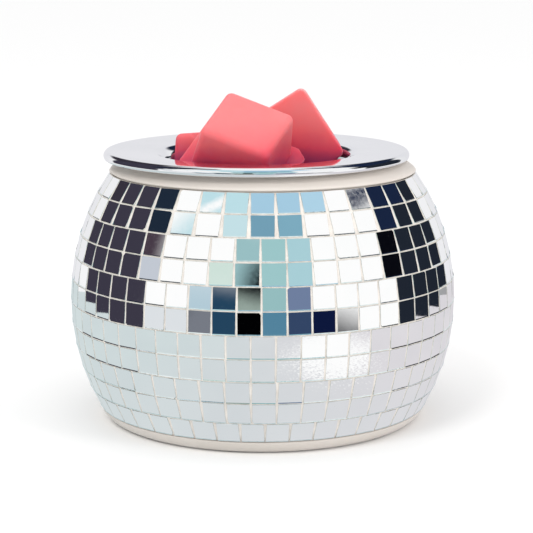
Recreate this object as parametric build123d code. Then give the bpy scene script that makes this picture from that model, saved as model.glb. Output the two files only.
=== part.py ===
from build123d import *
import os
from math import asin, atan2, cos, floor, hypot, pi, radians, sin, sqrt, tan

# Electric wax melt warmer: a round ceramic pot faced with rows of square mirror tiles.
# A metal dish of wax cubes hangs in its open top above a small lamp.
# Millimetres and degrees, +Z up, origin at the centre of the base, front towards -Y.

# Wax cubes
cube_width = 31.6             # at the open face of the mould
cube_height = 22.0
cube_taper_width = 3.8        # how much narrower a cube is at its crown
cube_round = 2.6
web_thickness = 1.8
front_web_left_width = 5.0    # what is left of the moulded sheet between the cubes
front_web_right_width = 5.3
front_web_back_width = 4.0
front_web_chamfer = 4.2
rear_cube_height = 15.0       # snapped short of its crown
left_cube_cut = 1.0           # the left piece is a cube snapped just short of its middle
wax_gap = 0.5                 # between pieces of wax that lean on each other

# Places of the cubes from the middle of the well's floor, as shares of a cube's width
front_cube_shares = (-0.2025, -0.3797, 0.4684)
front_across_shares = (0.911, -0.241, -0.332)
front_up_shares = (0.153, -0.549, 0.822)
rear_cube_shares = (0.4241, 0.1709, 0.6867)
rear_across_shares = (0.535, -0.083, -0.841)
rear_up_shares = (0.06, 0.995, 0.06)
left_cube_shares = (-0.4146, 0.2025, 0.1171)
left_turn_degrees = -23.5
left_roll_degrees = -5.2
left_pitch_degrees = -4.5

# Wax dish
well_clearance = 5.1          # the well is this much wider than a cube, all round
well_draw = 1.5               # the well is this much narrower at its floor
well_depth = 18.6
well_corner_radius = 5.0
mouth_radius = 4.0            # underside radius of the rolled mouth
dish_thickness = 1.0
dish_slope_degrees = 3.9      # fall of the rim towards the well
dish_overhang = 6.7           # reach of the rim past the pot's lip
dish_edge_depth = 3.3         # depth of the turned-down edge
dish_edge_draw = 1.5          # how far that edge draws in
dish_bend_radius = 0.4        # inside radius of the bend above that edge
dish_shift = 2.4              # the loose dish lies this far off centre, to the left
dish_seat_gap = 0.3
lamp_headroom = 9.8           # between the bulb and the dish

# Ceramic pot
body_radius = 76.0            # widest reach of the mirror faces
belly_height = 47.4           # height of the widest point
wall_thickness = 5.0
floor_thickness = 5.0
foot_band_height = 5.0        # bare glaze below the last row of mirrors
foot_draw = 4.2               # how far the foot stands in from that row
foot_width = 8.8
foot_bulge = 0.6              # how far the foot band bows outwards
shoulder_width = 5.73         # bare glaze between the lip and the first row
shoulder_proud_height = 0.6   # the bare shoulder stands this far proud of the mirrors
shoulder_edge_height = 0.9    # shoulder corner above the first row
shoulder_round = 2.2
shoulder_round_share = 0.9    # share of the shoulder's edge that its rounding may take up
belt_depth = 8.6              # first row of mirrors below the rim of the dish
lip_width = 4.6               # the lip carries the dish
lip_depth = 4.5               # height of the lip's bore
lip_bevel_height = 1.4        # height of the lip above the sloping shoulder
lip_round = 0.6
well_gap = 12.8               # between the dish's well and the lip
ledge_clearance = 0.3         # between the outer rows and the ledges above and below them

# Mirror tiles
tile_width = 8.2
tile_thickness = 1.8
tile_bed_thickness = 0.15     # adhesive behind each tile
row_gap = 0.67
column_gap = 0.3              # narrowest gap between columns
rows_per_strip = 2
strip_turn_shares = (0.0, 0.42, 0.46, 0.02, 0.04, 0.59)   # turn of each strip, in columns

# Lampholder
nipple_radius = 4.85
nipple_bore_radius = 3.5
nipple_tip_length = 0.4       # thread left above its upper nut
nipple_end_length = 3.6       # thread left below its lower nut
thread_clearance = 0.1
nut_wall_thickness = 2.15
nut_height = 3.2
washer_radius = 9.0
washer_thickness = 1.2
holder_wall_thickness = 2.2
holder_floor_thickness = 4.0
shell_side_gap = 2.17         # between the screw shell's flange and the housing
block_depth = 16.2            # top of the insulator block below the housing's mouth
block_thickness = 3.0
block_room = 0.6              # between the block and the nut below it
block_step_width = 1.4        # step that carries the block
flute_radius = 1.2
flute_depth = 0.5
flute_length = 14.0
flute_count = 12
shell_thickness = 0.5
shell_flange_width = 2.6
shell_top_gap = 0.5
contact_thickness = 0.6
contact_width = 5.0
contact_length = 9.0
contact_height = 2.4
terminal_radius = 1.6
terminal_head_length = 0.8
terminal_count = 2

# Bulb
cap_radius = 5.95
cap_thickness = 0.4
cap_height = 13.0
fit_clearance = 0.08
tip_radius = 2.0
tip_height = 0.9
insulator_height = 1.6
bulb_radius = 12.5
bulb_height = 25.0            # glass above the cap
bulb_neck_radius = 5.3
bulb_neck_height = 2.0
bulb_shoulder_height = 9.0
bulb_shoulder_radius = 9.0
bulb_crown_share = 0.93       # share of the glass above its shoulder that is rounded off
glass_thickness = 0.7
glass_length_in_cap = 4.0
stem_radius = 1.5
stem_flare_height = 4.0
stem_height = 12.0
lead_radius = 0.3
lead_height = 5.0
lead_bend_height = 1.0
lead_spread_width = 4.0
coil_radius = 0.45
coil_sag_height = 1.5

# Underside
cover_thickness = 2.0
cover_height = 3.0            # underside of the cover above the table
cover_clearance = 0.4
boss_radius = 5.0
boss_inset = 12.0             # middle of a boss from the wall of the recess
screw_count = 3
screw_radius = 1.5
screw_hole_clearance = 0.3
screw_head_radius = 3.0
screw_head_height = 1.6
screw_length = 9.0
screw_slot_width = 0.8
insert_radius = 2.6
insert_length = 6.0
foot_count = 4
foot_radius = 3.4
foot_thickness = 2.0
foot_proud_height = 0.5
grommet_bore_radius = 3.0
grommet_wall_thickness = 1.2
grommet_lip_width = 0.6
grommet_lip_thickness = 1.2
grommet_flange_width = 1.4
grommet_flange_thickness = 1.6
grommet_clearance = 0.1
grommet_room = 0.2            # between the grommet and the recess above and below it
cord_hole_draft_degrees = 1.5

overrun = 1.0                 # how far cutting shapes pass the faces they cut

# Heights of the underside, lampholder and bulb
grommet_neck_radius = grommet_bore_radius + grommet_wall_thickness
grommet_lip_radius = grommet_neck_radius + grommet_lip_width
grommet_flange_radius = grommet_neck_radius + grommet_flange_width
cover_top = cover_height + cover_thickness
floor_bottom = cover_top + 2 * (grommet_lip_radius + grommet_room)
floor_top = floor_bottom + floor_thickness
cord_height = (cover_top + floor_bottom) / 2
nipple_length_below_floor = washer_thickness + nut_height + nipple_end_length
nipple_length_above_floor = washer_thickness + holder_floor_thickness + nut_height + nipple_tip_length
holder_height = holder_floor_thickness + nut_height + block_room + block_thickness + block_depth
holder_bottom = floor_top + washer_thickness
holder_top = holder_bottom + holder_height
block_top = holder_top - block_depth
block_bottom = block_top - block_thickness
tip_bottom = block_top + contact_height + contact_thickness
cap_bottom = tip_bottom + tip_height + insulator_height
cap_top = cap_bottom + cap_height
glass_bottom = cap_top - glass_length_in_cap

# Widths of the lampholder
shell_bore_radius = cap_radius + fit_clearance
cavity_radius = shell_bore_radius + shell_flange_width + shell_side_gap
holder_radius = cavity_radius + holder_wall_thickness
step_radius = cavity_radius - block_step_width
thread_hole_radius = nipple_radius + thread_clearance

# The dish is sized for the cubes, and the pot's opening for the dish
well_radius = cube_width + well_clearance
mouth_outer_radius = well_radius + mouth_radius + dish_thickness
lip_radius = well_radius + well_gap
lip_outer_radius = lip_radius + lip_width
dish_rim_radius = lip_outer_radius + dish_overhang
dish_rim_slope = tan(radians(dish_slope_degrees))
well_floor = cap_top + bulb_height + lamp_headroom + dish_thickness
dish_mouth_height = well_floor + well_depth
dish_top = dish_mouth_height + (dish_rim_radius - mouth_outer_radius) * dish_rim_slope

# The mirror faces follow one arc from the shoulder down, and as many rows as fit above the foot
belt_top = dish_top - belt_depth
belt_top_radius = lip_outer_radius + shoulder_width
belt_rise = belt_top - belly_height
belly_reach = body_radius ** 2 - belt_top_radius ** 2 - belt_rise ** 2
arc_centre = belly_reach / (2 * (body_radius - belt_top_radius))
belly_arc_radius = body_radius - arc_centre
proud_arc_radius = belly_arc_radius + shoulder_proud_height
belt_arc_radius = belly_arc_radius - tile_thickness - tile_bed_thickness
inner_arc_radius = belt_arc_radius - wall_thickness
row_angle = (tile_width + row_gap) / belly_arc_radius
ledge_angle = ledge_clearance / belly_arc_radius
belt_top_angle = asin(belt_rise / belly_arc_radius)
lowest_angle = asin((foot_band_height - belly_height) / belly_arc_radius)
row_count = floor((belt_top_angle - lowest_angle) / row_angle)
belt_bottom_angle = belt_top_angle - row_count * row_angle


def on_arc(radius, angle):
    """Point of the pot's side at an angle above its widest height."""
    return arc_centre + radius * cos(angle), belly_height + radius * sin(angle)


# The foot stands in from the last row, and what it carries follows it
base_radius = on_arc(belly_arc_radius, belt_bottom_angle)[0] - foot_draw
recess_radius = base_radius - foot_width
foot_circle_radius = base_radius - foot_width / 2
boss_circle_radius = recess_radius - boss_inset
cord_seat = on_arc(belt_arc_radius, belt_bottom_angle)[0]
cord_lip_face = sqrt(recess_radius ** 2 - grommet_lip_radius ** 2) - grommet_clearance


def side_arc(radius, start, end):
    """Arc of the pot's side between two angles, exact as a rational curve of three points."""
    half = (end - start) / 2
    pull = on_arc(radius / cos(half), start + half)
    return Bezier(on_arc(radius, start), pull, on_arc(radius, end), weights=[1, cos(half), 1])


def disc(radius, height, bottom=0.0):
    return Pos(0, 0, bottom + height / 2) * Cylinder(radius, height)


def ring(outer, inner, height, bottom=0.0):
    bore = disc(inner, height + 2 * overrun, bottom - overrun)
    return disc(outer, height, bottom) - bore


def turned(*points):
    """Solid of revolution from a closed outline of distances from the axis and heights."""
    return revolve(Plane.XZ * make_face(Polyline(*points, points[0])), Axis.Z)


def around(count, radius, shape, turn=0.0):
    """Copies of a shape spread evenly on a circle."""
    step = 360 / count
    return [Rot(0, 0, turn + k * step) * Pos(radius, 0, 0) * shape for k in range(count)]


def rounded(face, corners):
    """Face with the corners nearest the given points rounded."""
    for (x, y), radius in corners:
        corner = face.vertices().sort_by_distance((x, y, 0))[0]
        face = fillet(corner, radius)
    return face


def beside(points, gap):
    """Open polyline of points a constant distance to the right of another."""
    lines = []
    for (x0, y0), (x1, y1) in zip(points, points[1:]):
        run = hypot(x1 - x0, y1 - y0)
        nx, ny = (y1 - y0) / run, (x0 - x1) / run
        lines.append((nx, ny, nx * x0 + ny * y0 + gap))
    moved = [(points[0][0] + gap * lines[0][0], points[0][1] + gap * lines[0][1])]
    for (a, b, c), (d, e, f) in zip(lines, lines[1:]):
        det = a * e - b * d
        moved.append(((c * e - b * f) / det, (a * f - c * d) / det))
    moved.append((points[-1][0] + gap * lines[-1][0], points[-1][1] + gap * lines[-1][1]))
    return moved


def export(shape, name):
    export_step(shape, "parts/" + name + ".step")


def lip_height(radius):
    """Height at which the lip clears the sloping underside of the shifted dish."""
    fall = (dish_rim_radius - (radius - dish_shift)) * dish_rim_slope
    return dish_top - fall - dish_thickness - dish_seat_gap


def ceramic_body():
    low_angle = belt_bottom_angle - ledge_angle
    high_angle = belt_top_angle + ledge_angle
    edge_angle = high_angle + shoulder_edge_height / proud_arc_radius
    foot_inner = (recess_radius, foot_proud_height)
    foot_outer = (base_radius, foot_proud_height)
    band_top = on_arc(belly_arc_radius, low_angle)
    band_run = band_top[0] - base_radius, band_top[1] - foot_proud_height
    bow = foot_bulge / hypot(*band_run)
    band_middle = ((base_radius + band_top[0]) / 2 + bow * band_run[1],
                   (foot_proud_height + band_top[1]) / 2 - bow * band_run[0])
    shoulder = on_arc(proud_arc_radius, edge_angle)
    lip_edge = (lip_outer_radius, lip_height(lip_outer_radius))
    lip_foot = (lip_outer_radius, lip_edge[1] - lip_bevel_height)
    shoulder_turn = pi / 2 - edge_angle - atan2(lip_foot[1] - shoulder[1], shoulder[0] - lip_foot[0])
    most_round = shoulder_round_share * shoulder_edge_height / tan(abs(shoulder_turn) / 2)
    lip_inner = (lip_radius, lip_height(lip_radius))
    lip_bottom = (lip_radius, lip_inner[1] - lip_depth)
    floor_angle = asin((floor_top - belly_height) / inner_arc_radius)
    floor_corner = on_arc(inner_arc_radius, floor_angle)
    outline = Curve() + [
        Line(foot_inner, foot_outer),
        ThreePointArc(foot_outer, band_middle, band_top),
        Line(band_top, on_arc(belt_arc_radius, low_angle)),
        side_arc(belt_arc_radius, low_angle, high_angle),
        Line(on_arc(belt_arc_radius, high_angle), on_arc(proud_arc_radius, high_angle)),
        side_arc(proud_arc_radius, high_angle, edge_angle),
        Polyline(shoulder, lip_foot, lip_edge, lip_inner, lip_bottom,
                 on_arc(inner_arc_radius, belt_top_angle)),
        side_arc(inner_arc_radius, belt_top_angle, floor_angle),
        Polyline(floor_corner, (thread_hole_radius, floor_top), (thread_hole_radius, floor_bottom),
                 (recess_radius, floor_bottom), foot_inner),
    ]
    face = rounded(make_face(outline), [
        (shoulder, min(shoulder_round, most_round)), (lip_edge, lip_round), (lip_inner, lip_round),
        (floor_corner, wall_thickness)])
    body = revolve(Plane.XZ * face, Axis.Z)
    boss = disc(boss_radius, floor_bottom - cover_top, cover_top)
    insert_hole = disc(insert_radius + fit_clearance, screw_length + 2 * overrun, cover_height)
    foot_pocket = disc(foot_radius + fit_clearance, foot_thickness)
    body += around(screw_count, boss_circle_radius, boss)
    body -= around(screw_count, boss_circle_radius, insert_hole)
    body -= around(foot_count, foot_circle_radius, foot_pocket, 45)
    neck = grommet_neck_radius + grommet_clearance
    flange = grommet_flange_radius + grommet_clearance
    cord_hole = along_cord(neck, cord_lip_face, body_radius) + along_cord(flange, cord_seat, body_radius)
    return body - cord_hole


def along_cord(radius, start, end, draft=cord_hole_draft_degrees):
    """Drafted plug on the cord hole's axis, between two distances behind the centre."""
    outer = radius + (end - start) * tan(radians(draft))
    plug = Cone(outer, radius, end - start) if draft else Cylinder(radius, end - start)
    return Pos(0, (start + end) / 2, cord_height) * Rot(90, 0, 0) * plug


def cord_grommet():
    lip_end = cord_lip_face - grommet_lip_thickness
    flange_end = cord_seat + grommet_flange_thickness
    body = along_cord(grommet_neck_radius, cord_lip_face, cord_seat)
    body += along_cord(grommet_flange_radius, cord_seat, flange_end)
    body += along_cord(grommet_lip_radius, lip_end, cord_lip_face, 0)
    return body - along_cord(grommet_bore_radius, lip_end - overrun, flange_end + overrun, 0)


def columns(first_row):
    """Number of columns that fit the narrowest edge of a strip's tile backs."""
    last_row = min(first_row + rows_per_strip, row_count)
    edges = [belt_top_angle - first_row * row_angle, belt_top_angle - last_row * row_angle]
    narrowest = min(on_arc(belt_arc_radius, angle)[0] for angle in edges)
    return 2 * floor(pi * narrowest / (tile_width + column_gap))


def covers_cord_hole(across, height, behind):
    reach = grommet_flange_radius + tile_width / 2 - row_gap
    return behind > 0 and hypot(across, height - cord_height) < reach


def mirror_row(row):
    """Flat tiles of one row, each tangent to the pot's side."""
    strip = row // rows_per_strip
    count = columns(strip * rows_per_strip)
    stagger = strip_turn_shares[strip % len(strip_turn_shares)]
    angle = belt_top_angle - (row + 1 / 2) * row_angle
    radius, height = on_arc(belly_arc_radius - tile_thickness / 2, angle)
    tile = Pos(radius, 0, height) * Rot(0, -angle * 180 / pi, 0) * Box(tile_thickness, tile_width, tile_width)
    turns = [(k + stagger) * 360 / count - 90 for k in range(count)]
    tiles = []
    for turn in turns:
        across = radius * cos(radians(turn))
        behind = radius * sin(radians(turn))
        if not covers_cord_hole(across, height, behind):
            tiles.append(Rot(0, 0, turn) * tile)
    return Compound(tiles)


def wax_dish():
    edge_foot = (dish_rim_radius - dish_edge_draw, dish_top - dish_edge_depth)
    top = [(0, well_floor), (well_radius - well_draw, well_floor), (well_radius, dish_mouth_height),
           (dish_rim_radius, dish_top), edge_foot]
    under = beside(top, dish_thickness)
    outline = Polyline(*top, *reversed(under), top[0])
    inside = (well_corner_radius, mouth_radius + dish_thickness, dish_bend_radius + dish_thickness)
    outside = (well_corner_radius + dish_thickness, mouth_radius, dish_bend_radius)
    corners = list(zip(top[1:4], inside)) + list(zip(under[1:4], outside))
    face = rounded(make_face(outline), corners)
    return Pos(-dish_shift, 0, 0) * revolve(Plane.XZ * face, Axis.Z)


def plain_cube(height):
    """Moulded wax cube: wider at the open face of its mould than at its crown."""
    crown_width = cube_width - cube_taper_width * height / cube_height
    base = Plane.XY * Rectangle(cube_width, cube_width)
    crown = Plane.XY.offset(height) * Rectangle(crown_width, crown_width)
    cube = loft([base.face(), crown.face()])
    sides = cube.edges().filter_by(lambda edge: edge.bounding_box().size.Z > height / 2)
    cube = fillet(sides, cube_round)
    return fillet(cube.faces().sort_by(Axis.Z)[-1].edges(), cube_round)


def in_well(shares):
    """Place of a cube from its shares of a cube's width."""
    across, behind, above = [share * cube_width for share in shares]
    return across - dish_shift, behind, well_floor + above


def front_plane():
    return Plane(origin=in_well(front_cube_shares), x_dir=front_across_shares, z_dir=front_up_shares)


def wax_front_cube():
    half = cube_width / 2
    left, right = -half - front_web_left_width, half + front_web_right_width
    back = half + front_web_back_width
    web = Polyline((left, -half), (right, -half), (right, back - front_web_chamfer),
                   (right - front_web_chamfer, back), (left, back), (left, -half))
    face = rounded(make_face(web), [((left, -half), cube_round), ((left, back), cube_round)])
    return front_plane() * (plain_cube(cube_height) + extrude(face, web_thickness))


def wax_rear_cube():
    place = Plane(origin=in_well(rear_cube_shares), x_dir=rear_across_shares, z_dir=rear_up_shares)
    return place * plain_cube(rear_cube_height)


def wax_left_piece():
    reach = 2 * cube_width
    kept = Pos(-left_cube_cut - reach / 2, 0, 0) * Box(reach, reach, reach)
    turn = Rot(0, 0, left_turn_degrees) * Rot(0, left_roll_degrees, 0) * Rot(left_pitch_degrees, 0, 0)
    piece = Pos(*in_well(left_cube_shares)) * turn * (plain_cube(cube_height) & kept)
    above = Pos(0, 0, reach / 2 - wax_gap) * Box(2 * reach, 2 * reach, reach)
    return piece - front_plane() * above


def screw_shell():
    """Threaded sleeve of the lampholder, standing on the insulator block."""
    length = holder_top - shell_top_gap - block_top
    sleeve = ring(shell_bore_radius + shell_thickness, shell_bore_radius, length, block_top)
    flange = ring(shell_bore_radius + shell_flange_width, shell_bore_radius, shell_thickness, block_top)
    return sleeve + flange


def centre_contact():
    """Bent strip that presses on the bulb's tip."""
    half = contact_length / 2
    path = [(half, 0), (half / 2, 0), (half / 3, contact_height), (-half / 2, contact_height)]
    thick = beside(path, contact_thickness)
    face = make_face(Polyline(*path, *reversed(thick), path[0]))
    strip = extrude(Plane.XZ * face, contact_width / 2, both=True)
    return Pos(0, 0, block_top) * strip


def terminals(radius):
    """Screws through the housing's wall, one on each side."""
    height = (holder_bottom + holder_floor_thickness + block_bottom) / 2
    length = holder_radius + terminal_head_length - step_radius
    screw = Pos(length / 2, 0, height) * Rot(0, 90, 0) * Cylinder(radius, length)
    return around(terminal_count, step_radius, screw, 90)


def lampholder_housing():
    body = disc(holder_radius, holder_height, holder_bottom)
    body -= disc(thread_hole_radius, holder_height, holder_bottom - overrun)
    body -= disc(step_radius, holder_height, holder_bottom + holder_floor_thickness)
    body -= disc(cavity_radius, block_depth + block_thickness + overrun, block_bottom)
    flute = disc(flute_radius, flute_length + overrun, holder_top - flute_length)
    body -= around(flute_count, holder_radius + flute_radius - flute_depth, flute)
    return body - terminals(terminal_radius + fit_clearance)


def hex_nut(bottom):
    nut = extrude(RegularPolygon(nipple_radius + nut_wall_thickness, 6, major_radius=False), nut_height)
    return Pos(0, 0, bottom) * nut - disc(thread_hole_radius, 2 * nut_height, bottom - overrun)


def nipple_washer(bottom):
    return ring(washer_radius, thread_hole_radius, washer_thickness, bottom)


def threaded_nipple():
    length = nipple_length_above_floor + floor_thickness + nipple_length_below_floor
    return ring(nipple_radius, nipple_bore_radius, length, floor_bottom - nipple_length_below_floor)


def bulb_outline(inset):
    """Half outline of the glass, set in from its outside."""
    neck = bulb_neck_radius - inset
    wide = bulb_radius - inset
    top = cap_top + bulb_height - inset
    neck_top = cap_top + bulb_neck_height
    shoulder = cap_top + bulb_shoulder_height
    points = [(0, glass_bottom), (neck, glass_bottom), (neck, neck_top), (wide, shoulder), (wide, top), (0, top)]
    face = make_face(Polyline(*points, points[0]))
    crown_round = min(wide, top - shoulder) * bulb_crown_share
    return rounded(face, [(points[2], bulb_neck_height + inset),
                          (points[3], bulb_shoulder_radius - inset), (points[4], crown_round)])


def bulb_glass():
    outer = revolve(Plane.XZ * bulb_outline(0), Axis.Z)
    return outer - revolve(Plane.XZ * bulb_outline(glass_thickness), Axis.Z)


def bulb_stem():
    flare = bulb_neck_radius - glass_thickness - fit_clearance
    top = glass_bottom + stem_height
    return turned((0, glass_bottom), (flare, glass_bottom), (stem_radius, glass_bottom + stem_flare_height),
                  (stem_radius, top), (0, top))


def bulb_filament():
    """Two leads standing on the stem and the coil that hangs between them."""
    foot = stem_radius - lead_radius
    low = glass_bottom + stem_height
    high = low + lead_height
    wire = Plane.XZ * Polyline((foot, low), (foot, low + lead_bend_height), (lead_spread_width, high))
    section = Plane(wire @ 0, z_dir=wire % 0) * Circle(lead_radius)
    lead = sweep(section, path=wire, transition=Transition.RIGHT)
    coil = Plane.XZ * ThreePointArc((-lead_spread_width, high), (0, high - coil_sag_height),
                                    (lead_spread_width, high))
    return lead + mirror(lead, Plane.YZ) + sweep(Plane(coil @ 0, z_dir=coil % 0) * Circle(coil_radius), path=coil)


def bulb_cap():
    floor_hole = tip_radius + cap_thickness
    sleeve = ring(cap_radius, cap_radius - cap_thickness, cap_height, cap_bottom)
    return sleeve + ring(cap_radius, floor_hole, cap_thickness, cap_bottom)


def bulb_insulator():
    low = tip_bottom + tip_height
    return turned((0, low), (tip_radius, low), (cap_radius - cap_thickness, cap_bottom), (0, cap_bottom))


def base_cover():
    plate = disc(recess_radius - cover_clearance, cover_thickness, cover_height)
    hole = disc(screw_radius + screw_hole_clearance, cover_thickness + 2 * overrun, cover_height - overrun)
    return plate - around(screw_count, boss_circle_radius, hole)


def cover_screw():
    head = disc(screw_head_radius, screw_head_height, cover_height - screw_head_height)
    slot_box = Box(2 * screw_head_radius, screw_slot_width, screw_slot_width)
    slot = Pos(0, 0, cover_height - screw_head_height + screw_slot_width / 2) * slot_box
    return head - slot + disc(screw_radius, screw_length, cover_height)


def main():
    os.makedirs("parts", exist_ok=True)
    export(ceramic_body(), "ceramic_body")
    for row in range(row_count):
        export(mirror_row(row), "mirror_row_%02d" % (row + 1))
    export(wax_dish(), "wax_dish")
    export(wax_front_cube(), "wax_front_cube")
    export(wax_rear_cube(), "wax_rear_cube")
    export(wax_left_piece(), "wax_left_piece")
    export(bulb_glass(), "bulb_glass")
    export(bulb_stem(), "bulb_stem")
    export(bulb_filament(), "bulb_filament")
    export(bulb_cap(), "bulb_cap")
    export(bulb_insulator(), "bulb_insulator")
    export(disc(tip_radius, tip_height, tip_bottom), "bulb_tip_contact")
    export(lampholder_housing(), "lampholder_housing")
    export(disc(cavity_radius - fit_clearance, block_thickness, block_bottom), "lampholder_block")
    export(screw_shell(), "lampholder_shell")
    export(centre_contact(), "lampholder_contact")
    export(Compound(terminals(terminal_radius)), "lampholder_terminals")
    export(threaded_nipple(), "threaded_nipple")
    export(nipple_washer(floor_top), "upper_washer")
    export(nipple_washer(floor_bottom - washer_thickness), "lower_washer")
    export(hex_nut(holder_bottom + holder_floor_thickness), "holder_lock_nut")
    export(hex_nut(floor_bottom - washer_thickness - nut_height), "nipple_nut")
    export(base_cover(), "base_cover")
    export(Compound(around(screw_count, boss_circle_radius, cover_screw())), "cover_screws")
    insert = ring(insert_radius, screw_radius + thread_clearance, insert_length, cover_top)
    export(Compound(around(screw_count, boss_circle_radius, insert)), "cover_inserts")
    foot = disc(foot_radius, foot_thickness)
    export(Compound(around(foot_count, foot_circle_radius, foot, 45)), "rubber_feet")
    export(cord_grommet(), "cord_grommet")


main()
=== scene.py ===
import math
import random
import bmesh
import bpy
from mathutils import Matrix, Vector


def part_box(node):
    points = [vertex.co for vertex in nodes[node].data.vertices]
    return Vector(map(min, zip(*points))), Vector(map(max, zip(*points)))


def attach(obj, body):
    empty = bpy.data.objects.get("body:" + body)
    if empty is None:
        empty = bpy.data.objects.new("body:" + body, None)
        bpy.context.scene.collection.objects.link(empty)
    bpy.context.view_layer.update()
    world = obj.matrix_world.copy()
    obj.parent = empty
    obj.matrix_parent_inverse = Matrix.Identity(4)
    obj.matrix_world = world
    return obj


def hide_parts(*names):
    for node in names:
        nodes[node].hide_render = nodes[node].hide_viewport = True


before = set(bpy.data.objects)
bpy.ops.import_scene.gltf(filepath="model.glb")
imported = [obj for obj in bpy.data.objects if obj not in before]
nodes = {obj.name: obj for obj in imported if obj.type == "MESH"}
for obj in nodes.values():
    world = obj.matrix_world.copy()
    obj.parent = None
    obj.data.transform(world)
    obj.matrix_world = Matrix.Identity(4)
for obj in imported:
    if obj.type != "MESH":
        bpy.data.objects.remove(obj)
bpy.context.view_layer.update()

# Wax melt warmer in a plain white studio. Metres, in the frame of the CAD model:
# +Z up, origin at the centre of the base, -Y towards the camera.

mm = 0.001
materials = {}


def shader(name):
    """A new material: its node tree and its main shader."""
    made = bpy.data.materials.new(name)
    made.use_nodes = True
    materials[name] = made
    return made.node_tree, made.node_tree.nodes["Principled BSDF"]


def add_node(tree, kind, inputs=None, **settings):
    """One shader node, its sockets set by name and linked where a socket is given."""
    node = tree.nodes.new(kind)
    for key, value in settings.items():
        setattr(node, key, value)
    for key, value in (inputs or {}).items():
        if isinstance(value, bpy.types.NodeSocket):
            tree.links.new(value, node.inputs[key])
        else:
            node.inputs[key].default_value = value
    return node


def math_node(tree, operation, first, second=0.0, clamp=False):
    node = add_node(tree, "ShaderNodeMath", {0: first, 1: second}, operation=operation)
    node.use_clamp = clamp
    return node.outputs[0]


def mix_colour(tree, share, first, second):
    node = add_node(tree, "ShaderNodeMix", {0: share, 6: first, 7: second}, data_type="RGBA")
    return node.outputs[2]


def smooth_step(tree, value, start, end):
    node = add_node(tree, "ShaderNodeMapRange", {0: value, 1: start, 2: end, 3: 0.0, 4: 1.0})
    node.interpolation_type = "SMOOTHSTEP"
    return node.outputs[0]


def noise(tree, scale, detail=3.0, roughness=0.5, stretch=(1, 1, 1)):
    """Noise in object space, scale in features per metre."""
    place = add_node(tree, "ShaderNodeTexCoord")
    mapping = add_node(tree, "ShaderNodeMapping", {"Vector": place.outputs["Object"], "Scale": stretch})
    texture = add_node(tree, "ShaderNodeTexNoise", {"Vector": mapping.outputs[0], "Scale": scale,
                                                    "Detail": detail, "Roughness": roughness})
    return texture.outputs["Fac"]


def ramp(tree, value, stops):
    node = add_node(tree, "ShaderNodeValToRGB", {"Fac": value})
    while len(node.color_ramp.elements) < len(stops):
        node.color_ramp.elements.new(0.5)
    for element, (place, colour) in zip(node.color_ramp.elements, stops):
        element.position = place
        element.color = (*colour, 1)
    return node.outputs["Color"]


def bump(tree, target, height, strength, distance):
    node = add_node(tree, "ShaderNodeBump",
                    {"Height": height, "Strength": strength, "Distance": distance})
    tree.links.new(node.outputs[0], target.inputs["Normal"])


def srgb(red, green, blue):
    """Linear colour of an 8-bit screen colour."""
    def linear(value):
        share = value / 255
        return share / 12.92 if share <= 0.04045 else ((share + 0.055) / 1.055) ** 2.4
    return linear(red), linear(green), linear(blue)


def solid(colour):
    return (*colour, 1)


def new_piece(name, verts, faces, material_names, body, replaced=()):
    """A mesh piece that rides on a body and stands for the CAD nodes it replaces."""
    mesh = bpy.data.meshes.new(name)
    mesh.from_pydata(verts, [], faces)
    for material_name in material_names:
        mesh.materials.append(materials[material_name])
    piece = bpy.data.objects.new(name, mesh)
    bpy.context.scene.collection.objects.link(piece)
    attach(piece, body)
    if replaced:
        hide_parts(*replaced)
    return piece


def smooth_faces(piece, chosen=None):
    for index, polygon in enumerate(piece.data.polygons):
        polygon.use_smooth = chosen is None or chosen(index, polygon)


def weld(piece):
    """Joins points that coincide, so that no face is left without area."""
    mesh = bmesh.new()
    mesh.from_mesh(piece.data)
    bmesh.ops.remove_doubles(mesh, verts=mesh.verts, dist=0.002 * mm)
    mesh.to_mesh(piece.data)
    mesh.free()


def apply_modifiers(piece):
    graph = bpy.context.evaluated_depsgraph_get()
    made = bpy.data.meshes.new_from_object(piece.evaluated_get(graph))
    piece.modifiers.clear()
    piece.data = made


# Camera, from the photo's own perspective
camera_distance = 711.1 * mm
camera_height = 194.5 * mm
camera_pitch = 10.80
camera_yaw = -0.12
camera_roll = -0.05
focal_length_px = 1821.0
image_px = 533.0
sensor_mm = 36.0


def place_camera():
    data = bpy.data.cameras.new("camera")
    data.sensor_fit = "HORIZONTAL"
    data.sensor_width = sensor_mm
    data.lens = sensor_mm * focal_length_px / image_px
    data.clip_start = 0.02
    data.clip_end = 50.0
    camera = bpy.data.objects.new("camera", data)
    bpy.context.scene.collection.objects.link(camera)
    turn = Matrix.Rotation(math.radians(camera_yaw), 4, "Z")
    pitch = Matrix.Rotation(math.radians(90 - camera_pitch), 4, "X")
    roll = Matrix.Rotation(math.radians(camera_roll), 4, "Z")
    camera.matrix_world = Matrix.Translation((0, -camera_distance, camera_height)) @ turn @ pitch @ roll
    bpy.context.scene.camera = camera


place_camera()


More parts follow.
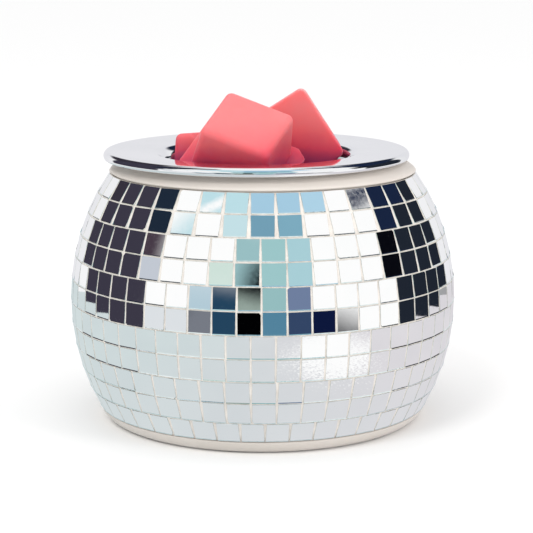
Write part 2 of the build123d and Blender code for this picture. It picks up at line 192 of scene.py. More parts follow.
# The studio that the mirrors see, as soft-edged cards on the sky: each has its azimuth range
# from the front towards +X, its elevation range, how soft its edges are, and its colour.
sky_cards = [
    ("left_screen", -134, -77, -12, 75, 1.5, (60, 57, 71)),
    ("left_screen_top", -94, -71, 29, 75, 1.0, (30, 42, 58)),
    ("left_screen_foot", -80, -75.2, 18, 28, 0.9, (72, 60, 72)),
    ("left_grey", -78, -65, 8, 18, 1.5, (196, 202, 212)),
    ("right_screen", 88, 136, -12, 75, 1.5, (32, 38, 49)),
    ("right_screen_top", 89, 136, 25, 75, 2.0, (25, 37, 64)),
    ("right_edge", 77, 92, 8, 27, 1.0, (8, 9, 16)),
    ("sky_left", -58, -11, 47, 75, 3.0, (190, 224, 232)),
    ("sky_middle", -16, 34, 49, 75, 2.5, (166, 204, 226)),
    ("sky_right", 30, 57, 49, 75, 2.5, (176, 212, 232)),
    ("blue_middle", -11, 11, 34, 49, 1.5, (116, 160, 182)),
    ("blue_right", 11, 31, 34, 49, 1.5, (126, 172, 192)),
    ("blue_left", -31, -11, 34, 49, 1.5, (198, 226, 232)),
    ("teal_left", -19, 1, 13, 34, 1.5, (154, 192, 196)),
    ("teal_middle", 1, 17, 13, 34, 1.5, (158, 200, 202)),
    ("teal_right", 17, 31, 13, 34, 1.5, (170, 208, 216)),
    ("green_left", -33, -19, 12, 20, 4.0, (188, 216, 204)),
    ("blue_left_low", -46, -31, -2, 7.5, 2.0, (180, 204, 216)),
    ("dark_left_low", -31, -17, -12, 8.5, 2.5, (36, 68, 94)),
    ("brown_low", -17, -1, -3, 11, 2.0, (150, 166, 158)),
    ("teal_low", -1, 13, -3, 12, 1.5, (150, 190, 192)),
    ("slate_low", 13, 28, -3, 9, 1.5, (112, 128, 160)),
    ("pale_left_foot", -72, -45, -12, -2.5, 1.5, (222, 226, 230)),
    ("grey_left_foot", -45, -31, -12, -2.5, 3.0, (120, 124, 134)),
    ("black_foot", -17, -1, -12, -2.5, 1.0, (2, 2, 3)),
    ("blue_foot", -1, 13, -12, -2.5, 1.0, (84, 132, 158)),
    ("slate_foot", 13, 27, -12, -2.5, 1.5, (52, 70, 102)),
    ("navy_foot", 27, 42, -12, -2.5, 1.0, (14, 24, 60)),
    ("shade_foot", 42, 58, -12, -6.5, 0.6, (6, 8, 22)),
    ("left_screen_end", -166, -130, 17, 52, 3.0, (52, 48, 58)),
    ("right_screen_end", 134, 168, 25, 52, 3.0, (26, 36, 58)),
]
# Narrow shapes that cross single tiles: the azimuth and elevation of the middle, half the width
# and height, how far the shape leans, how soft its edges are, and its colour.
sky_streaks = [
    ("blob_edge", -6.1, 12.6, 3.5, 6.5, 0.0, 0.4, (8, 12, 18)),
    ("shoulder_streak", 86.6, 40.6, 0.3, 1.6, -0.9, 0.25, (52, 60, 82)),
    ("window_streak", -48.3, 52.2, 0.5, 3.0, 1.1, 0.35, (255, 255, 255)),
    ("window_corner", -58.4, 37.4, 3.0, 2.5, 0.8, 0.35, (196, 226, 233)),
    ("foot_streak", -42.2, -7.0, 5.0, 3.5, 0.7, 0.9, (4, 4, 8)),
]
white = (1, 1, 1, 1)
wall_behind_colour = (232, 232, 236)
wall_behind_start, wall_behind_full = 0.55, 0.95    # of a direction's part away from the camera
studio_light = 1.05
mirror_floor_radius = 360 * mm                      # beyond it the mirrors see the sky instead
floor_reach = 6.0
tint_reach = 150 * mm
# Painted pool of light on the floor, seen only in the mirrors: its middle, the grain along its edge,
# and where it starts and where it is full.
glare_place = (95 * mm, -150 * mm, 0)
glare_grain = 90 * mm
glare_start, glare_full = 118 * mm, 92 * mm


def card_mask(tree, azimuth, elevation, card):
    left, right, low, high, soft = card
    sides = [smooth_step(tree, azimuth, left - soft, left + soft),
             smooth_step(tree, azimuth, right + soft, right - soft),
             smooth_step(tree, elevation, low - soft, low + soft),
             smooth_step(tree, elevation, high + soft, high - soft)]
    mask = sides[0]
    for side in sides[1:]:
        mask = math_node(tree, "MULTIPLY", mask, side)
    return mask


def streak_mask(tree, azimuth, elevation, streak):
    middle, level, half_width, half_height, lean, soft = streak
    rise = math_node(tree, "SUBTRACT", elevation, level)
    aside = math_node(tree, "SUBTRACT", azimuth, middle)
    leaning = math_node(tree, "MULTIPLY", rise, lean)
    across = math_node(tree, "ABSOLUTE", math_node(tree, "SUBTRACT", aside, leaning))
    upright = math_node(tree, "ABSOLUTE", rise)
    return math_node(tree, "MULTIPLY", smooth_step(tree, across, half_width + soft, half_width - soft),
                     smooth_step(tree, upright, half_height + soft, half_height - soft))


def make_world():
    """White to the eye and for the light, with the studio's cards for what is polished."""
    world = bpy.data.worlds.new("studio")
    world.use_nodes = True
    bpy.context.scene.world = world
    tree = world.node_tree
    background = tree.nodes["Background"]
    place = add_node(tree, "ShaderNodeTexCoord").outputs["Generated"]
    parts = add_node(tree, "ShaderNodeSeparateXYZ", {0: place})
    forward = math_node(tree, "MULTIPLY", parts.outputs[1], -1.0)
    degrees = 180 / math.pi
    turn = math_node(tree, "ARCTAN2", parts.outputs[0], forward)
    azimuth = math_node(tree, "MULTIPLY", turn, degrees)
    elevation = math_node(tree, "MULTIPLY", math_node(tree, "ARCSINE", parts.outputs[2]), degrees)
    behind = smooth_step(tree, parts.outputs[1], wall_behind_start, wall_behind_full)
    colour = mix_colour(tree, behind, white, solid(srgb(*wall_behind_colour)))
    for mask, shapes in ((card_mask, sky_cards), (streak_mask, sky_streaks)):
        for _, *shape, tone in shapes:
            share = mask(tree, azimuth, elevation, shape)
            colour = mix_colour(tree, share, colour, solid(srgb(*tone)))
    rays = add_node(tree, "ShaderNodeLightPath")
    polished = math_node(tree, "MAXIMUM", rays.outputs["Is Glossy Ray"],
                         rays.outputs["Is Transmission Ray"])
    light = math_node(tree, "SUBTRACT", 1.0, rays.outputs["Is Camera Ray"], clamp=True)
    plain = mix_colour(tree, light, white, (studio_light, studio_light, studio_light, 1))
    seen = mix_colour(tree, polished, plain, colour)
    tree.links.new(seen, background.inputs["Color"])


def make_floor():
    """Pale floor: it keeps the soft shadow for the eye, and the mirrors see its lit part as painted
    light, an emission that is greyer on the left and pinker on the right, with a painted pool of glare.
    """
    tree, main = shader("floor")
    main.inputs["Base Color"].default_value = (0.93, 0.93, 0.93, 1)
    main.inputs["Roughness"].default_value = 0.9
    main.inputs["Specular IOR Level"].default_value = 0.0
    place = add_node(tree, "ShaderNodeNewGeometry").outputs["Position"]
    distance = add_node(tree, "ShaderNodeVectorMath", {0: place}, operation="LENGTH").outputs["Value"]
    parts = add_node(tree, "ShaderNodeSeparateXYZ", {0: place})
    # Painted light: for mirror rays the floor glows as an emission, greyer on the left and pinker on
    # the right.
    across = smooth_step(tree, parts.outputs[0], -tint_reach, tint_reach)
    tint = mix_colour(tree, across, solid(srgb(211, 222, 223)), solid(srgb(223, 220, 224)))
    cloud = ramp(tree, noise(tree, 14, 3), [(0.35, (0.94, 0.94, 0.95)), (0.65, (1, 1, 1))])
    clouded = add_node(tree, "ShaderNodeMix", {0: 1.0, 6: tint, 7: cloud},
                       data_type="RGBA", blend_type="MULTIPLY")
    tint = clouded.outputs[2]
    # Painted pool of light: the glow turns white near glare_place.
    glare = add_node(tree, "ShaderNodeVectorMath", {0: place, 1: glare_place}, operation="DISTANCE")
    grain = math_node(tree, "MULTIPLY", noise(tree, 900, 2), glare_grain)
    grained = math_node(tree, "ADD", glare.outputs["Value"], grain)
    near_glare = smooth_step(tree, grained, glare_start, glare_full)
    tint = mix_colour(tree, near_glare, tint, white)
    pale = add_node(tree, "ShaderNodeEmission", {"Color": tint})
    clear = add_node(tree, "ShaderNodeBsdfTransparent")
    beyond = math_node(tree, "GREATER_THAN", distance, mirror_floor_radius)
    mirrored = add_node(tree, "ShaderNodeMixShader",
                        {0: beyond, 1: pale.outputs[0], 2: clear.outputs[0]})
    rays = add_node(tree, "ShaderNodeLightPath")
    end = add_node(tree, "ShaderNodeMixShader", {0: rays.outputs["Is Glossy Ray"],
                                                 1: main.outputs[0], 2: mirrored.outputs[0]})
    tree.links.new(end.outputs[0], tree.nodes["Material Output"].inputs["Surface"])
    corners = [(floor_reach * x, floor_reach * y, 0) for x, y in ((-1, -1), (1, -1), (1, 1), (-1, 1))]
    mesh = bpy.data.meshes.new("floor")
    mesh.from_pydata(corners, [], [(0, 1, 2, 3)])
    mesh.materials.append(materials["floor"])
    floor = bpy.data.objects.new("floor", mesh)
    bpy.context.scene.collection.objects.link(floor)


def area_light(name, place, aim, size, power, colour):
    data = bpy.data.lights.new(name, "AREA")
    data.shape = "DISK"
    data.size = size
    data.energy = power
    data.color = colour
    light = bpy.data.objects.new(name, data)
    bpy.context.scene.collection.objects.link(light)
    light.location = place
    light.rotation_euler = (Vector(aim) - Vector(place)).to_track_quat("-Z", "Y").to_euler()
    light.visible_glossy = False
    light.visible_transmission = False
    light.visible_camera = False


make_world()
make_floor()
area_light("key", place=(-0.5, -0.9, 1.1), aim=(0, 0, 0.09), size=0.5, power=5.0,
           colour=(1.0, 0.99, 0.97))
area_light("fill", place=(0.95, -0.7, 0.55), aim=(0, 0, 0.1), size=0.4, power=3.0,
           colour=(1.0, 0.93, 0.9))

bpy.context.scene.view_settings.view_transform = "Standard"


# Materials
def make_glaze():
    tree, main = shader("glaze")
    patches = ramp(tree, noise(tree, 22, 5), [(0.3, srgb(208, 201, 193)), (0.7, srgb(217, 210, 203))])
    tree.links.new(patches, main.inputs["Base Color"])
    rough = ramp(tree, noise(tree, 120, 4), [(0.3, (0.42, 0.42, 0.42)), (0.7, (0.55, 0.55, 0.55))])
    tree.links.new(rough, main.inputs["Roughness"])
    main.inputs["Coat Weight"].default_value = 0.12
    main.inputs["Coat Roughness"].default_value = 0.3
    bump(tree, main, noise(tree, 90, 4), 0.12, 0.12 * mm)


def make_mirror():
    tree, main = shader("mirror")
    wear = ramp(tree, noise(tree, 90, 5), [(0.25, (0.965, 0.975, 0.975)), (0.75, (0.99, 0.99, 0.99))])
    tree.links.new(wear, main.inputs["Base Color"])
    main.inputs["Metallic"].default_value = 1.0
    dust = ramp(tree, noise(tree, 700, 4), [(0.35, (0.015, 0.015, 0.015)), (0.8, (0.05, 0.05, 0.05))])
    tree.links.new(dust, main.inputs["Roughness"])
    tree, main = shader("mirror_edge")
    tint = ramp(tree, noise(tree, 600, 3), [(0.3, srgb(216, 230, 230)), (0.7, srgb(240, 246, 246))])
    tree.links.new(tint, main.inputs["Base Color"])
    main.inputs["Metallic"].default_value = 1.0
    rough = ramp(tree, noise(tree, 900, 3), [(0.3, (0.03, 0.03, 0.03)), (0.7, (0.14, 0.14, 0.14))])
    tree.links.new(rough, main.inputs["Roughness"])
    bump(tree, main, noise(tree, 1500, 3), 0.3, 0.06 * mm)
    tree, main = shader("glass_side")
    tint = ramp(tree, noise(tree, 500, 4), [(0.3, srgb(176, 184, 178)), (0.7, srgb(232, 229, 222))])
    tree.links.new(tint, main.inputs["Base Color"])
    main.inputs["Roughness"].default_value = 0.2
    bump(tree, main, noise(tree, 1500, 3), 0.5, 0.1 * mm)


def make_grout():
    tree, main = shader("grout")
    tint = ramp(tree, noise(tree, 260, 5), [(0.25, srgb(206, 200, 193)), (0.75, srgb(230, 225, 219))])
    tree.links.new(tint, main.inputs["Base Color"])
    main.inputs["Roughness"].default_value = 0.75
    bump(tree, main, noise(tree, 900, 5), 0.7, 0.2 * mm)


def make_chrome():
    tree, main = shader("chrome")
    main.inputs["Metallic"].default_value = 1.0
    tint = ramp(tree, noise(tree, 30, 4), [(0.3, (0.86, 0.87, 0.885)), (0.7, (0.93, 0.935, 0.945))])
    tree.links.new(tint, main.inputs["Base Color"])
    haze = ramp(tree, noise(tree, 220, 5), [(0.3, (0.045, 0.045, 0.045)), (0.8, (0.11, 0.11, 0.11))])
    tree.links.new(haze, main.inputs["Roughness"])
    bump(tree, main, noise(tree, 45, 3), 0.06, 0.25 * mm)


def make_wax():
    """Pink wax, with painted shade that deepens it to magenta towards the bottom near the dish, and a
    painted highlight that makes it paler along its moulded edges.
    """
    tree, main = shader("wax")
    place = add_node(tree, "ShaderNodeTexCoord")
    parts = add_node(tree, "ShaderNodeSeparateXYZ", {0: place.outputs["Object"]})
    # Painted shade: darker and more magenta towards the bottom of the wax, near the dish, with a noisy
    # edge to the shading.
    cloud = math_node(tree, "MULTIPLY", noise(tree, 55, 4), 9 * mm)
    deep = smooth_step(tree, math_node(tree, "ADD", parts.outputs[2], cloud), 126 * mm, 104 * mm)
    tint = ramp(tree, deep, [(0.0, srgb(230, 128, 130)), (0.45, srgb(227, 106, 114)),
                             (0.8, srgb(214, 76, 100)), (1.0, srgb(160, 52, 96))])
    # Painted highlight: paler pink along the sharp moulded edges.
    edge = smooth_step(tree, add_node(tree, "ShaderNodeNewGeometry").outputs["Pointiness"], 0.52, 0.6)
    tint = mix_colour(tree, math_node(tree, "MULTIPLY", edge, 0.5), tint, solid(srgb(248, 172, 176)))
    tree.links.new(tint, main.inputs["Base Color"])
    main.inputs["Subsurface Weight"].default_value = 0.85
    main.inputs["Subsurface Radius"].default_value = (1.0, 0.25, 0.2)
    main.inputs["Subsurface Scale"].default_value = 5 * mm
    main.inputs["Roughness"].default_value = 0.42
    main.inputs["Specular IOR Level"].default_value = 0.4
    main.inputs["IOR"].default_value = 1.44
    bump(tree, main, noise(tree, 120, 5), 0.22, 0.2 * mm)


def make_plain(name, dark, light, rough, metallic=0.0, scale=300, depth=0.3):
    """A moulded, turned or fired surface: mottled between two screen colours, with a fine grain."""
    tree, main = shader(name)
    tint = ramp(tree, noise(tree, scale / 4, 4), [(0.3, srgb(*dark)), (0.7, srgb(*light))])
    tree.links.new(tint, main.inputs["Base Color"])
    grain = ramp(tree, noise(tree, scale, 4), [(0.3, (rough[0],) * 3), (0.7, (rough[1],) * 3)])
    tree.links.new(grain, main.inputs["Roughness"])
    main.inputs["Metallic"].default_value = metallic
    bump(tree, main, noise(tree, 3 * scale, 3), depth, 0.08 * mm)
    return tree, main


def make_thread(name, dark, light, rough, pitch):
    """A plated or turned metal with the rings of a thread along its axis, a pitch apart."""
    tree, main = make_plain(name, dark, light, rough, 1.0)
    place = add_node(tree, "ShaderNodeTexCoord")
    parts = add_node(tree, "ShaderNodeSeparateXYZ", {0: place.outputs["Object"]})
    wave = math_node(tree, "SINE", math_node(tree, "MULTIPLY", parts.outputs[2], 2 * math.pi / pitch))
    bump(tree, main, wave, 0.8, 0.25 * pitch)


def make_glass():
    tree, main = shader("clear_glass")
    tint = ramp(tree, noise(tree, 60, 3), [(0.3, (0.96, 0.975, 0.97)), (0.7, (0.99, 0.995, 0.99))])
    tree.links.new(tint, main.inputs["Base Color"])
    smear = ramp(tree, noise(tree, 140, 4), [(0.35, (0.0, 0.0, 0.0)), (0.8, (0.04, 0.04, 0.04))])
    tree.links.new(smear, main.inputs["Roughness"])
    main.inputs["Transmission Weight"].default_value = 1.0
    main.inputs["IOR"].default_value = 1.47


nipple_pitch = 1.0 * mm
cap_pitch = 2.6 * mm

make_glaze()
make_mirror()
make_grout()
make_chrome()
make_wax()
make_glass()
make_plain("filament_wire", (92, 90, 88), (140, 138, 134), (0.3, 0.5), 1.0, 2000)
make_plain("black_glass", (8, 8, 10), (20, 20, 24), (0.06, 0.16), 0.0, 400, 0.1)
make_plain("solder", (150, 151, 154), (186, 187, 190), (0.35, 0.6), 1.0, 900, 0.6)
make_plain("holder_plastic", (26, 26, 28), (40, 40, 42), (0.42, 0.58), 0.0, 700, 0.4)
make_plain("holder_ceramic", (222, 216, 204), (238, 233, 224), (0.6, 0.8), 0.0, 500, 0.5)
make_plain("brass", (176, 138, 72), (212, 176, 104), (0.2, 0.38), 1.0, 500, 0.3)
make_plain("zinc_steel", (160, 163, 167), (196, 199, 203), (0.24, 0.42), 1.0, 350, 0.3)
make_plain("cover_plastic", (214, 211, 205), (228, 225, 220), (0.5, 0.66), 0.0, 900, 0.6)
make_plain("rubber", (32, 32, 33), (48, 48, 49), (0.7, 0.88), 0.0, 1200, 0.5)
make_plain("plated_cap", (176, 174, 168), (208, 206, 200), (0.18, 0.34), 1.0, 400, 0.25)
make_thread("zinc_thread", (160, 163, 167), (196, 199, 203), (0.24, 0.42), nipple_pitch)
make_thread("brass_thread", (176, 138, 72), (212, 176, 104), (0.2, 0.38), cap_pitch)


# Pot: sizes of the CAD model
arc_centre = -10.014 * mm
belly_height = 47.4 * mm
belly_arc_radius = 86.014 * mm
belt_top = 97.602 * mm
row_count = 11
row_pitch = 8.87 * mm
tile_thickness = 1.8 * mm
cord_height = 10 * mm
cord_clear = 7.4 * mm


def side_point(radius, angle):
    return arc_centre + radius * math.cos(angle), belly_height + radius * math.sin(angle)


def lathe(points, segments, centre_x=0.0):
    """Vertices and faces of an outline turned about the axis, from one end to the other."""
    verts = []
    faces = []
    count = len(points)
    for k in range(segments):
        turn = 2 * math.pi * k / segments
        for radius, height in points:
            verts.append((centre_x + radius * math.cos(turn), radius * math.sin(turn), height))
    for k in range(segments):
        first, second = k * count, (k + 1) % segments * count
        for j in range(count - 1):
            corners = [first + j, second + j, second + j + 1, first + j + 1]
            if points[j][0] < 1e-7:
                corners.remove(second + j)
            if points[j + 1][0] < 1e-7:
                corners.remove(second + j + 1)
            faces.append(corners)
    return verts, faces


def islands(mesh):
    """The separate solids of a mesh, each as its corners' places and its faces' normals."""
    groups = {}

    def key(co):
        return tuple(round(value * 1e6) for value in co)

    parent = {}

    def root(item):
        while parent[item] != item:
            parent[item] = parent[parent[item]]
            item = parent[item]
        return item

    for vertex in mesh.vertices:
        parent.setdefault(key(vertex.co), key(vertex.co))
    for polygon in mesh.polygons:
        keys = [key(mesh.vertices[index].co) for index in polygon.vertices]
        for other in keys[1:]:
            parent[root(other)] = root(keys[0])
    for polygon in mesh.polygons:
        group = groups.setdefault(root(key(mesh.vertices[polygon.vertices[0]].co)), ([], []))
        group[0].extend(mesh.vertices[index].co.copy() for index in polygon.vertices)
        group[1].append(polygon.normal.copy())
    return list(groups.values())


# Mirror tiles
tile_seed = 100
tile_height = 8.5 * mm
column_gap = 0.34 * mm
most_stretch = 1.085            # a tile's width over its CAD width, where its row leaves room
most_spread = 0.012             # how much wider its edge away from the belly is than its middle
full_lean = 0.3                 # lean of the side from which on a tile spreads so far
bevel_share = 0.975             # the back's size over the front's
face_height = 0.7 * mm          # of the mirror's face over the middle of the plate
edge_drop = 0.07 * mm
edge_width = 0.07 * mm
lip_width = 0.34 * mm
lip_proud = 0.14 * mm
width_range = (0.965, 1.0)
height_range = (0.98, 1.005)
chip_chance = 0.09              # that a corner is chipped, and not only nicked
chip_mm = (0.3, 0.8)
nick_mm = (0.04, 0.14)
cut_slant = (0.5, 1.6)
edge_waver_mm = 0.05
tilt_spread, turn_spread = 0.25, 0.3        # degrees
slide_across_mm, slide_up_mm = 0.06, 0.04
bend_spread = 0.3                           # per metre


def off_cord(place):
    """Distance from the axis of the cord hole at the back."""
    return math.hypot(place.x, place.z - cord_height) if place.y > 0 else math.inf


def tile_outline(rng, half_width, half_height):
    """Ragged outline of a cut tile, round from the bottom left corner."""
    cuts = []
    for _ in range(4):
        chipped = rng.random() < chip_chance
        size = rng.uniform(*(chip_mm if chipped else nick_mm)) * mm
        cuts.append((size, size * rng.uniform(*cut_slant)))
    corners = [(-1, -1), (1, -1), (1, 1), (-1, 1)]
    points = []
    for k, (sx, sy) in enumerate(corners):
        nx, ny = corners[(k + 1) % 4]
        start_cut, end_cut = cuts[k], cuts[(k + 1) % 4]
        for step in range(5):
            share = step / 4
            if sy == ny:
                low, high = half_width - start_cut[0], half_width - end_cut[0]
                x = sx * low + (nx * high - sx * low) * share
                y = sy * half_height
            else:
                low, high = half_height - start_cut[1], half_height - end_cut[1]
                x = sx * half_width
                y = sy * low + (ny * high - sy * low) * share
            wave = rng.uniform(0, edge_waver_mm) * mm
            points.append((x - math.copysign(wave, x), y - math.copysign(wave, y)))
    return points


def inset(point, half_width, half_height, depth):
    x = math.copysign(min(abs(point[0]), half_width - depth), point[0])
    y = math.copysign(min(abs(point[1]), half_height - depth), point[1])
    return x, y


def add_tile(rng, verts, faces, kinds, centre, across, up, out, side, most_width):
    """A cut mirror tile: ragged outline, ground edges, low lip at its foot, slightly bent face."""
    half_width = min(side * most_stretch, most_width) * rng.uniform(*width_range) / 2
    half_height = tile_height * rng.uniform(*height_range) / 2
    tilt = Matrix.Rotation(math.radians(rng.gauss(0, tilt_spread)), 3, across)
    tilt = Matrix.Rotation(math.radians(rng.gauss(0, tilt_spread)), 3, up) @ tilt
    tilt = Matrix.Rotation(math.radians(rng.gauss(0, turn_spread)), 3, out) @ tilt
    slide = across * rng.uniform(-slide_across_mm, slide_across_mm) * mm
    slide += up * rng.uniform(-slide_up_mm, slide_up_mm) * mm
    bend = [rng.gauss(0, bend_spread) for _ in range(3)]
    outline = tile_outline(rng, half_width, half_height)
    lean = up.xy.dot(out.xy)
    spread = -most_spread * math.copysign(min(abs(lean), full_lean) / full_lean, lean)

    def place(point, height):
        x, y = point
        x *= 1 + spread * y / half_height
        height += bend[0] * x * x + bend[1] * y * y + bend[2] * x * y
        return centre + slide + tilt @ (across * x + up * y + out * height)

    def lip(point):
        return lip_proud if point[1] < -half_height + 1.5 * edge_width else 0.0

    top = face_height
    start = len(verts)
    count = len(outline)
    for point in outline:
        verts.append(place((point[0] * bevel_share, point[1] * bevel_share), -tile_thickness / 2))
    for point in outline:
        verts.append(place(point, top - edge_drop))
    for point in outline:
        ground = inset(point, half_width, half_height, edge_width)
        verts.append(place(ground, top + lip(ground)))
    for point in outline:
        x, y = inset(point, half_width, half_height, edge_width)
        verts.append(place((x, max(y, -half_height + edge_width + lip_width)), top))
    for share in (0.66, 0.33):
        for point in outline:
            verts.append(place((point[0] * share, point[1] * share), top))
    verts.append(place((0, 0), top))
    for ring, kind in enumerate((2, 1, 1, 0, 0)):
        for k in range(count):
            after = (k + 1) % count
            low, high = start + ring * count, start + (ring + 1) * count
            faces.append((low + k, low + after, high + after, high + k))
            kinds.append(kind)
    last = start + 5 * count
    for k in range(count):
        faces.append((last + k, last + (k + 1) % count, last + count))
        kinds.append(0)
    faces.append(tuple(start + k for k in reversed(range(count))))
    kinds.append(2)


def mirror_row(row, node_name):
    """A row's CAD plates as cut tiles, as wide as their row leaves room for."""
    rng = random.Random(tile_seed + row)
    verts, faces, kinds = [], [], []
    tiles = []
    for places, normals in islands(nodes[node_name].data):
        tiles.append((sum(places, Vector()) / len(places), places, normals))
    turns = sorted(math.atan2(centre.y, centre.x) for centre, places, normals in tiles)
    step = min(after - before for before, after in zip(turns, turns[1:]))
    for centre, places, normals in tiles:
        # Only roughly outwards, which is enough to tell the plate's front from its other faces
        level = Vector((centre.x, centre.y, 0)).normalized() * 0.9
        outward = level + Vector((0, 0, (centre.z - belly_height) / belly_arc_radius))
        out = max(normals, key=lambda normal: normal.dot(outward)).normalized()
        across = Vector((0, 0, 1)).cross(out).normalized()
        up = out.cross(across)
        side = 2 * max((place - centre).dot(across) for place in places)
        narrow = math.hypot(centre.x, centre.y) - up.xy.length * side / 2
        by_cord = off_cord(centre) < 2 * cord_clear
        most_width = side if by_cord else narrow * step - column_gap
        add_tile(rng, verts, faces, kinds, centre, across, up, out, side, most_width)
    name = "mirror_tiles_%02d" % row
    finishes_by_kind = ("mirror", "mirror_edge", "glass_side")
    piece = new_piece(name, verts, faces, finishes_by_kind, "pot", (node_name,))
    for polygon, kind in zip(piece.data.polygons, kinds):
        polygon.material_index = kind
        polygon.use_smooth = kind == 0
    weld(piece)
    sides = {}
    for polygon in piece.data.polygons:
        for key in polygon.edge_keys:
            sides.setdefault(key, set()).add(polygon.material_index)
    for edge in piece.data.edges:
        edge.use_edge_sharp = len(sides[edge.key]) > 1


grout_depth = 0.3 * mm
grout_thickness = 0.6 * mm


def grout_skin():
    """Grout between the tiles, a little below their faces, with a round notch for the cord hole."""
    face_radius = belly_arc_radius - grout_depth
    top_angle = math.asin((belt_top - belly_height) / belly_arc_radius)
    bottom_angle = top_angle - row_count * row_pitch / belly_arc_radius
    points = []
    steps = 6 * row_count
    for k in range(steps + 1):
        angle = bottom_angle + (top_angle - bottom_angle) * k / steps
        points.append(side_point(face_radius, angle))
    verts, faces = lathe(points, 288)
    kept, dropped = [], []
    for face in faces:
        middle = sum((Vector(verts[index]) for index in face), Vector()) / len(face)
        (dropped if off_cord(middle) < cord_clear else kept).append(face)
    kept_corners = {index for face in kept for index in face}
    dropped_corners = {index for face in dropped for index in face}
    for index in kept_corners & dropped_corners:
        x, _, z = verts[index]
        rise = z - cord_height
        reach = cord_clear / math.hypot(x, rise)
        x, z = x * reach, cord_height + rise * reach
        around = arc_centre + math.sqrt(face_radius ** 2 - (z - belly_height) ** 2)
        verts[index] = (x, math.sqrt(around ** 2 - x ** 2), z)
    piece = new_piece("grout", verts, kept, ("grout",), "pot")
    thick = piece.modifiers.new("thick", "SOLIDIFY")
    thick.thickness = grout_thickness
    thick.offset = -1
    apply_modifiers(piece)
    smooth_faces(piece)


for row in range(1, row_count + 1):
    mirror_row(row, "mirror_row_%02d" % row)
grout_skin()


# Dish
def rounded_path(points, radii, steps=8):
    """Open outline with its inner corners rounded."""
    path = [points[0]]
    for before, corner, after, radius in zip(points, points[1:], points[2:], radii):
        a = (Vector(before) - Vector(corner)).normalized()
        b = (Vector(after) - Vector(corner)).normalized()
        half = a.angle(b) / 2
        reach = radius / math.tan(half)
        middle = Vector(corner) + (a + b).normalized() * (radius / math.sin(half))
        start = Vector(corner) + a * reach - middle
        end = Vector(corner) + b * reach - middle
        sweep = math.pi - 2 * half
        side = 1 if start.x * end.y - start.y * end.x > 0 else -1
        for k in range(steps + 1):
            angle = side * sweep * k / steps
            turned = Vector((start.x * math.cos(angle) - start.y * math.sin(angle),
                             start.x * math.sin(angle) + start.y * math.cos(angle)))
            path.append(tuple(middle + turned))
    path.append(points[-1])
    return path


def offset_path(points, gap):
    """Open outline a constant distance to the right of another."""
    lines = []
    for (x0, y0), (x1, y1) in zip(points, points[1:]):
        run = math.hypot(x1 - x0, y1 - y0)
        nx, ny = (y1 - y0) / run, (x0 - x1) / run
        lines.append((nx, ny, nx * x0 + ny * y0 + gap))
    moved = [(points[0][0] + gap * lines[0][0], points[0][1] + gap * lines[0][1])]
    for (a, b, c), (d, e, f) in zip(lines, lines[1:]):
        det = a * e - b * d
        moved.append(((c * e - b * f) / det, (a * f - c * d) / det))
    moved.append((points[-1][0] + gap * lines[-1][0], points[-1][1] + gap * lines[-1][1]))
    return moved


def polished_dish():
    """The dish as one turned sheet, off the pot's centre, its rim falling towards the rolled mouth."""
    sheet = 1.0 * mm
    shift = -2.4 * mm
    rim, top, slope = 60.8 * mm, 106.202 * mm, math.tan(math.radians(3.9))
    mouth, well, well_foot, well_depth = 41.7 * mm, 36.7 * mm, 35.2 * mm, 18.6 * mm
    mouth_height = top - (rim - mouth) * slope
    floor = mouth_height - well_depth
    roll, bend = 2.0 * mm, 5 * mm
    corner = rim + 0.39 * mm                # so that the rolled edge ends where the CAD rim does
    edge_draw, edge_depth = 1.6 * mm, 3.3 * mm
    inner = [(0, floor), (well_foot, floor), (well, mouth_height),
             (corner, top + (corner - rim) * slope), (corner - edge_draw, top - edge_depth)]
    outer = offset_path(inner, sheet)
    above = rounded_path(inner, [bend, bend, roll], 16)
    below = rounded_path(outer, [bend + sheet, bend - sheet, roll - sheet], 16)
    verts, faces = lathe(above + list(reversed(below)), 256, shift)
    piece = new_piece("dish_polished", verts, faces, ("chrome",), "dish", ("wax_dish",))
    smooth_faces(piece)


polished_dish()


# Wax
def wax_piece(node_name, body):
    """The CAD solid remeshed finely, its moulded edges softened."""
    source = nodes[node_name].data
    verts = [tuple(vertex.co) for vertex in source.vertices]
    faces = [tuple(polygon.vertices) for polygon in source.polygons]
    piece = new_piece(node_name + "_soft", verts, faces, ("wax",), body, (node_name,))
    remesh = piece.modifiers.new("remesh", "REMESH")
    remesh.mode = "VOXEL"
    remesh.voxel_size = 0.5 * mm
    smooth = piece.modifiers.new("smooth", "SMOOTH")
    smooth.iterations = 4
    smooth.factor = 0.5
    apply_modifiers(piece)
    smooth_faces(piece)


wax_piece("wax_front_cube", "front_wax")
wax_piece("wax_rear_cube", "rear_wax")
wax_piece("wax_left_piece", "left_wax")


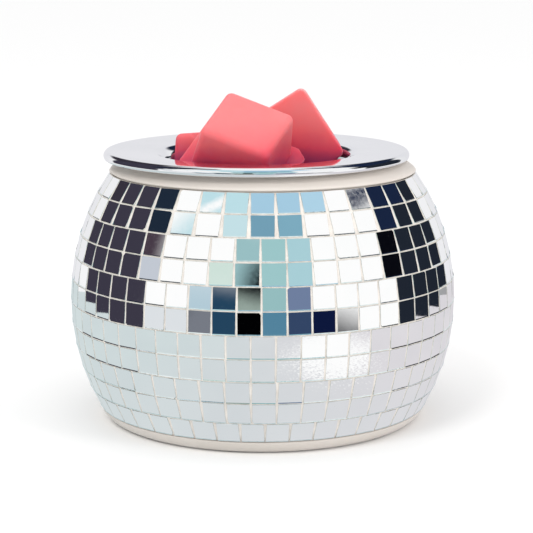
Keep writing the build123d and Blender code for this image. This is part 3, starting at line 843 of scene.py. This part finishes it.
def dress(node_name, material_name):
    mesh = nodes[node_name].data
    mesh.materials.clear()
    mesh.materials.append(materials[material_name])


def cap_thread():
    """The bulb's cap as thin sheet pressed into a screw thread."""
    outer, inner, floor_hole, sheet = 5.95 * mm, 5.5 * mm, 2.4 * mm, 0.4 * mm
    low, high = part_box("bulb_cap")[0][2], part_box("bulb_cap")[1][2]
    deep, segments, rows = 0.36 * mm, 96, 90
    fade_in, fade_out = 6, 14                       # rings over which the thread starts and runs out
    verts, faces = [], []
    for k in range(segments):
        turn = 2 * math.pi * k / segments
        ring = []
        for j in range(rows + 1):
            height = low + (high - low) * j / rows
            wave = 0.5 - 0.5 * math.cos(2 * math.pi * ((height - low) / cap_pitch - k / segments))
            fade = min(1.0, j / fade_in, (rows - j) / fade_out)
            ring.append((outer - deep * wave * fade, height))
        ring += [(inner, high), (inner, low + sheet), (floor_hole, low + sheet), (floor_hole, low)]
        for radius, height in ring:
            verts.append((radius * math.cos(turn), radius * math.sin(turn), height))
    count = len(verts) // segments
    for k in range(segments):
        first, second = k * count, (k + 1) % segments * count
        for j in range(count):
            after = (j + 1) % count
            faces.append((first + j, second + j, second + after, first + after))
    piece = new_piece("cap_thread", verts, faces, ("plated_cap",), "bulb", ("bulb_cap",))
    smooth_faces(piece, lambda index, polygon: index % count < rows)


cap_thread()

finishes = {
    "ceramic_body": "glaze", "bulb_glass": "clear_glass", "bulb_stem": "clear_glass",
    "bulb_filament": "filament_wire", "bulb_insulator": "black_glass", "bulb_tip_contact": "solder",
    "lampholder_housing": "holder_plastic", "lampholder_block": "holder_ceramic",
    "lampholder_shell": "brass_thread", "lampholder_contact": "brass", "lampholder_terminals": "brass",
    "cover_inserts": "brass", "threaded_nipple": "zinc_thread", "upper_washer": "zinc_steel",
    "lower_washer": "zinc_steel", "holder_lock_nut": "zinc_steel", "nipple_nut": "zinc_steel",
    "cover_screws": "zinc_steel", "base_cover": "cover_plastic", "rubber_feet": "rubber",
    "cord_grommet": "rubber",
}
for node_name, material_name in finishes.items():
    dress(node_name, material_name)
